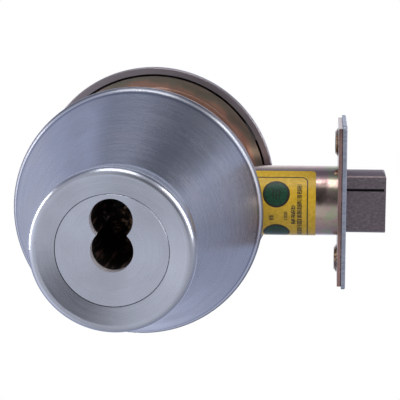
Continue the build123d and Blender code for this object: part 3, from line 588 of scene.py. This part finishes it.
def plain_metal(name, tones, scale, roughness, relief, stretch=(1.0, 1.0, 1.0)):
    """Bare or plated metal whose tone and gloss follow one fine grain, with soft clouds over it."""
    shade = Shade(name)
    grain = shade.noise(shade.place(scale=stretch), scale, detail=3.0, roughness=0.6)
    cloud = shade.noise(shade.place(), METAL_CLOUD_SCALE)
    darkest = tones[0][1]
    shade.set(Base_Color=shade.ramp(grain, *tones), Metallic=1.0,
              Roughness=shade.spread(grain, *roughness))
    shade.paint(shade.remap(cloud, *METAL_CLOUD_RANGE, 0.0, METAL_CLOUD_WEIGHT), darkest)
    shade.bump(grain, relief, METAL_RELIEF_STRENGTH)
    return shade


def zinc_steel():
    """Bright zinc plate on the inner parts and screws."""
    return plain_metal("zinc_steel", [(0.35, (0.48, 0.50, 0.54)), (0.65, (0.66, 0.68, 0.72))],
                       scale=900.0, roughness=(0.34, 0.22), relief=0.04 * MM)


def spring_steel():
    """Blue-grey spring steel."""
    return plain_metal("spring_steel", [(0.35, (0.20, 0.21, 0.25)), (0.65, (0.34, 0.35, 0.38))],
                       scale=1400.0, roughness=(0.36, 0.26), relief=0.03 * MM, stretch=(0.2, 1.0, 1.0))


def hardened_steel():
    """Dark hardened steel with turned grain."""
    return plain_metal("hardened_steel", [(0.35, (0.10, 0.10, 0.105)), (0.65, (0.19, 0.185, 0.18))],
                       scale=2000.0, roughness=(0.45, 0.33), relief=0.04 * MM, stretch=(1.0, 0.15, 1.0))


def brass():
    """Brass painted nearly black as shade in the core cavity, with a few brown patches of painted glints.
    """
    return plain_metal("brass", [(0.50, (0.022, 0.015, 0.012)), (0.66, (0.36, 0.225, 0.15))],
                       scale=620.0, roughness=(0.42, 0.28), relief=0.03 * MM)


NYLON_TONES = [(0.35, (0.70, 0.67, 0.58)), (0.65, (0.80, 0.77, 0.69))]
NYLON_CLOUD_SCALE = 200.0
NYLON_GRAIN_SCALE = 1200.0
NYLON_ROUGHNESS = (0.38, 0.50)
NYLON_SUBSURFACE = 0.08
NYLON_RELIEF = 0.04 * MM
NYLON_RELIEF_STRENGTH = 0.3


def nylon():
    """Moulded natural nylon."""
    shade = Shade("nylon")
    grain = shade.noise(shade.place(), NYLON_GRAIN_SCALE, detail=3.0)
    cloud = shade.noise(shade.place(), NYLON_CLOUD_SCALE)
    shade.set(Base_Color=shade.ramp(cloud, *NYLON_TONES), Subsurface_Weight=NYLON_SUBSURFACE,
              Roughness=shade.spread(grain, *NYLON_ROUGHNESS))
    shade.bump(grain, NYLON_RELIEF, NYLON_RELIEF_STRENGTH)
    return shade


# ---------------------------------------------------------------- label

# Distances on the label are in millimetres: across from its edge by the faceplate, and up round
# the tube from the level line on the key side
YELLOW_TONES = [(0.35, (0.62, 0.375, 0.018)), (0.65, (0.75, 0.465, 0.034))]
YELLOW_SCALE = 900.0
GREEN = (0.006, 0.042, 0.020)
GREEN_TONES = [(0.4, GREEN), (0.6, scaled(GREEN, 1.7))]
GREEN_SCALE = 1.3
INK = (0.022, 0.018, 0.012)
INK_LINE = 0.2
PRINT_SOFTNESS = 0.05
BORDER_CENTRE = (22.0, -9.0)
BORDER_HALF = (19.2, 19.8)
BORDER_R = 2.0
COLUMN_R = 0.1
COLUMNS = [
    # across, top, bottom, half width, weight of the ink
    (5.5, 8.0, -13.5, 0.85, 0.92),
    (7.6, 0.8, -6.3, 0.72, 0.92),
    (10.2, -1.4, -4.7, 0.6, 0.75),
    (15.1, -2.8, -4.7, 0.80, 0.95),
]
GAP_SCALE, GAP_RANGE = 1.9, (0.36, 0.42)
STROKE_SCALE, STROKE_RANGE = 2.6, (0.36, 0.50)
DISC_R = 4.65
DISC_BORDER = 0.7
DISC_CENTRES = [(13.4, 4.6), (13.4, -11.1)]
BAR_SHIFTS = (-1.1, 0.0, 1.1)
BAR_HALF = (0.28, 1.7)
BAR_R = 0.1
BAR_WEIGHT = 0.7
VINYL_ROUGHNESS = (0.30, 0.42)
VINYL_SPECULAR = 0.4
VINYL_GRAIN_SCALE = 1800.0
VINYL_RELIEF = 0.03 * MM
VINYL_RELIEF_STRENGTH = 0.2


def rounded_distance(shade, spot, centre, half, corner):
    """Signed distance from a rounded rectangle, in the units of the spot."""
    moved = shade.vector("ABSOLUTE", shade.vector("SUBTRACT", spot, (*centre, 0.0)))
    inner = shade.vector("SUBTRACT", moved, (half[0] - corner, half[1] - corner, 0.0))
    outside = shade.measure("LENGTH", shade.vector("MAXIMUM", inner, (0.0, 0.0, 0.0)))
    return shade.minus(outside, corner)


def printed(shade, distance, reach=0.0):
    """1 where a distance is under the reach, with an edge as soft as print."""
    return shade.remap(distance, reach + PRINT_SOFTNESS, reach - PRINT_SOFTNESS)


def print_strokes(shade, spot, up):
    """Columns of broken ink strokes that spell nothing, with gaps at the same heights."""
    gaps = shade.noise(shade.join(0.0, up, 0.0), GAP_SCALE, detail=1.0)
    strokes = shade.noise(spot, STROKE_SCALE, roughness=0.7)
    ink = shade.times(shade.remap(gaps, *GAP_RANGE), shade.remap(strokes, *STROKE_RANGE))
    for place, top, bottom, half_width, weight in COLUMNS:
        centre, half = (place, (top + bottom) / 2), (half_width, (top - bottom) / 2)
        column = printed(shade, rounded_distance(shade, spot, centre, half, COLUMN_R))
        shade.paint(shade.times(shade.times(column, ink), weight), INK)


def print_discs(shade, spot):
    """Green discs with an ink ring, each crossed by upright bars."""
    for across, up in DISC_CENTRES:
        green = shade.ramp(shade.noise(spot, GREEN_SCALE, detail=3.0), *GREEN_TONES)
        for shift in BAR_SHIFTS:
            bar = rounded_distance(shade, spot, (across + shift, up), BAR_HALF, BAR_R)
            green = shade.mix(shade.times(printed(shade, bar), BAR_WEIGHT), green, INK)
        disc = rounded_distance(shade, spot, (across, up), (DISC_R, DISC_R), DISC_R)
        shade.paint(printed(shade, disc), INK)
        shade.paint(printed(shade, disc, -DISC_BORDER), green)


def yellow_label():
    """Yellow vinyl label with a ruled border, two green discs and columns of broken strokes."""
    shade = Shade("label_yellow")
    x, y, z = shade.split(shade.place((LABEL_EDGE_X, 0.0, 0.0)))
    across = shade.times(x, -1.0 / MM)
    up = shade.times(shade.maths("ARCTAN2", z, shade.times(y, -1.0)), TUBE_R / MM)
    spot = shade.join(across, up, 0.0)
    grain = shade.noise(shade.place(), VINYL_GRAIN_SCALE)
    cloud = shade.noise(shade.place(), YELLOW_SCALE, detail=3.0)
    shade.set(Base_Color=shade.ramp(cloud, *YELLOW_TONES),
              Roughness=shade.spread(grain, *VINYL_ROUGHNESS), Specular_IOR_Level=VINYL_SPECULAR)
    border = shade.maths("ABSOLUTE", rounded_distance(shade, spot, BORDER_CENTRE, BORDER_HALF, BORDER_R))
    shade.paint(printed(shade, border, INK_LINE), INK)
    print_strokes(shade, spot, up)
    print_discs(shade, spot)
    shade.bump(grain, VINYL_RELIEF, VINYL_RELIEF_STRENGTH)
    return shade


# ---------------------------------------------------------------- finishes on the pieces

def dress(shade, *names):
    """Give pieces one finish and nothing else."""
    for name in names:
        mesh = NODES[name].data
        mesh.materials.clear()
        mesh.materials.append(shade.material)


def dress_pieces():
    """Give every piece its finish."""
    dress(collar_satin(), "exterior_collar")
    dress(rose_satin(), "interior_rose")
    dress(housing_satin(), "cylinder_housing")
    dress(grip_satin(), "thumbturn")
    dress(faceplate_satin(), "faceplate")
    dress(bolt_steel(), "bolt")
    dress(tube_dichromate(), "latch_tube")
    dress(case_dichromate(), "case_plate_exterior", "case_plate_interior", "exterior_mount_plate")
    dress(plate_dichromate(), "backing_plate")
    dress(dish_dichromate(), "interior_mount_plate")
    dress(zinc_steel(), "mounting_posts", "housing_screws", "mounting_screws", "case_rivets",
          "tailpiece", "hub_fork", "bolt_link", "link_pin", "bolt_pin", "thumbturn_spindle")
    dress(spring_steel(), "collar_spring_washer", "rose_catch_springs", "thumbturn_spring_washer",
          "detent_spring", "driver_clip", "thumbturn_clip")
    dress(hardened_steel(), "collar_armour_ring", "saw_roller")
    dress(brass(), "throw_member")
    dress(nylon(), "thumbturn_bearing")
    dress(yellow_label(), "label")


# ---------------------------------------------------------------- camera

CAMERA_FROM_SPINDLE = Vector((60.58, -418.5, 89.87)) * MM
CAMERA_PITCH = -12.11
CAMERA_ROLL = 0.52
CAMERA_YAW = 5.69
CAMERA_LENS = 109.72
CAMERA_SENSOR = 36.0
CAMERA_CLIP_START = 10.0 * MM


def add_camera():
    """Camera that looks down on the key side from in front and a little to its right."""
    data = bpy.data.cameras.new("camera")
    data.lens = CAMERA_LENS
    data.sensor_width = CAMERA_SENSOR
    data.clip_start = CAMERA_CLIP_START
    camera = bpy.data.objects.new("camera", data)
    bpy.context.scene.collection.objects.link(camera)
    turn = (Matrix.Rotation(math.radians(CAMERA_YAW), 4, "Z")
            @ Matrix.Rotation(math.radians(CAMERA_PITCH), 4, "X")
            @ Matrix.Rotation(math.radians(CAMERA_ROLL), 4, "Y")
            @ Matrix.Rotation(math.radians(90.0), 4, "X"))
    camera.matrix_world = Matrix.Translation(CAMERA_FROM_SPINDLE + Vector(SPINDLE)) @ turn
    bpy.context.scene.camera = camera


# ---------------------------------------------------------------- light

WHITE = (1.0, 1.0, 1.0, 1.0)
BLACK = (0.0, 0.0, 0.0, 1.0)
ROOM_FRONT = (0.47, 0.49, 0.545)
ROOM_BACK = (0.41, 0.45, 0.60)
# The room's tint from -1 straight ahead of the key side to 1 straight behind the lock
ROOM_TINTS = [(-0.4, ROOM_FRONT), (0.3, ROOM_BACK), (0.72, ROOM_BACK), (0.92, ROOM_FRONT)]
# Soft regions of the room that the metal mirrors: direction, half angle in degrees where the
# region is full and where it ends, and how much it brightens or darkens the room
REGIONS = [
    ("camera side", (0.24, -0.94, 0.20), 11, 27, 0.18),
    ("over the camera", (0.15, -0.78, 0.60), 6, 20, 0.45),
    ("front", (-0.08, -0.92, -0.39), 10, 30, 1.34),
    ("front left", (-0.52, -0.85, -0.06), 8, 24, 1.35),
    ("low front left", (-0.44, -0.76, -0.48), 6, 24, 0.68),
    ("lower left", (-0.80, -0.40, -0.45), 12, 40, 1.9),
    ("gap over the right", (0.48, 0.36, 0.79), 13, 32, 0.22),
    ("gap over the top", (-0.15, 0.42, 0.90), 10, 26, 0.48),
    ("gap over the left", (-0.66, 0.02, 0.75), 6, 24, 0.30),
    ("right", (0.85, 0.40, 0.20), 10, 35, 0.72),
    ("low right", (0.55, 0.35, -0.75), 20, 60, 0.76),
    ("left", (-0.80, 0.55, -0.10), 15, 45, 0.90),
    ("backdrop", (0.05, 1.0, -0.12), 24, 44, 2.1),
]


def room_strength(room, direction):
    """How bright the room is in a direction: the product of all its soft regions."""
    strength = 1.0
    for name, toward, full, end, factor in REGIONS:
        closeness = room.measure("DOT_PRODUCT", direction, Vector(toward).normalized())
        fade = room.add("ShaderNodeMapRange", Value=closeness, From_Min=math.cos(math.radians(end)),
                        From_Max=math.cos(math.radians(full)), To_Min=1.0, To_Max=factor)
        fade.interpolation_type = "SMOOTHSTEP"
        fade.label = name
        strength = room.times(strength, fade.outputs["Result"])
    return strength


def build_world():
    """Pale backdrop for the camera, and for the metal a grey room with brighter and darker regions."""
    world = bpy.data.worlds.new("studio")
    bpy.context.scene.world = world
    world.use_nodes = True
    room = Nodes(world.node_tree)
    direction = room.add("ShaderNodeTexCoord").outputs["Generated"]
    _, depth, _ = room.split(direction)
    stops = [((place + 1.0) / 2.0, colour) for place, colour in ROOM_TINTS]
    tint = room.ramp(room.remap(depth, -1.0, 1.0), *stops)
    seen_in_metal = room.add("ShaderNodeBackground", Color=tint, Strength=room_strength(room, direction))
    seen_by_camera = room.add("ShaderNodeBackground", Color=WHITE)
    choose = room.add("ShaderNodeMixShader")
    output = room.add("ShaderNodeOutputWorld")
    room.link(room.add("ShaderNodeLightPath").outputs["Is Camera Ray"], choose.inputs[0])
    room.link(seen_in_metal.outputs[0], choose.inputs[1])
    room.link(seen_by_camera.outputs[0], choose.inputs[2])
    room.link(choose.outputs[0], output.inputs["Surface"])


FLOOR_DEPTH = 0.2
FLOOR_HALF = 20.0


def add_floor():
    """Plain white floor far below the lock, which only the camera sees."""
    mesh = bpy.data.meshes.new("floor")
    corners = [(x, y, 0.0) for x, y in ((-1, -1), (1, -1), (1, 1), (-1, 1))]
    mesh.from_pydata(corners, [], [(0, 1, 2, 3)])
    floor = bpy.data.objects.new("floor", mesh)
    floor.location = (SPINDLE_X, 0.0, -FLOOR_DEPTH)
    floor.scale = (FLOOR_HALF, FLOOR_HALF, 1.0)
    bpy.context.scene.collection.objects.link(floor)
    paper = Shade("floor_paper")
    paper.set(Base_Color=BLACK, Roughness=1.0, Specular_IOR_Level=0.0, Emission_Color=WHITE,
              Emission_Strength=1.0)
    mesh.materials.append(paper.material)
    for ray in ("visible_diffuse", "visible_glossy", "visible_transmission", "visible_shadow"):
        setattr(floor, ray, False)


LIT_POINT = Vector((SPINDLE_X, -0.04, 0.0))
SOFTBOX_DISTANCE = 0.6
SOFTBOXES = [
    # name, direction from the lock, size, power
    ("softbox_top", (-0.03, -0.26, 0.96), (0.34, 0.30), 0.9),
    ("softbox_right", (0.88, -0.30, 0.40), (0.26, 0.54), 1.9),
    ("softbox_left", (-0.98, -0.06, 0.14), (0.22, 0.42), 1.6),
]


def softbox(name, direction, size, power):
    """Rectangular soft light that faces the lock."""
    data = bpy.data.lights.new(name, "AREA")
    data.shape = "RECTANGLE"
    data.size, data.size_y = size
    data.energy = power
    light = bpy.data.objects.new(name, data)
    bpy.context.scene.collection.objects.link(light)
    toward = Vector(direction).normalized()
    light.location = LIT_POINT + toward * SOFTBOX_DISTANCE
    light.rotation_mode = "QUATERNION"
    light.rotation_quaternion = toward.to_track_quat("Z", "Y")
    light.visible_camera = False


add_camera()
dress_pieces()
build_world()
add_floor()
for box in SOFTBOXES:
    softbox(*box)
bpy.context.scene.view_settings.view_transform = "Standard"
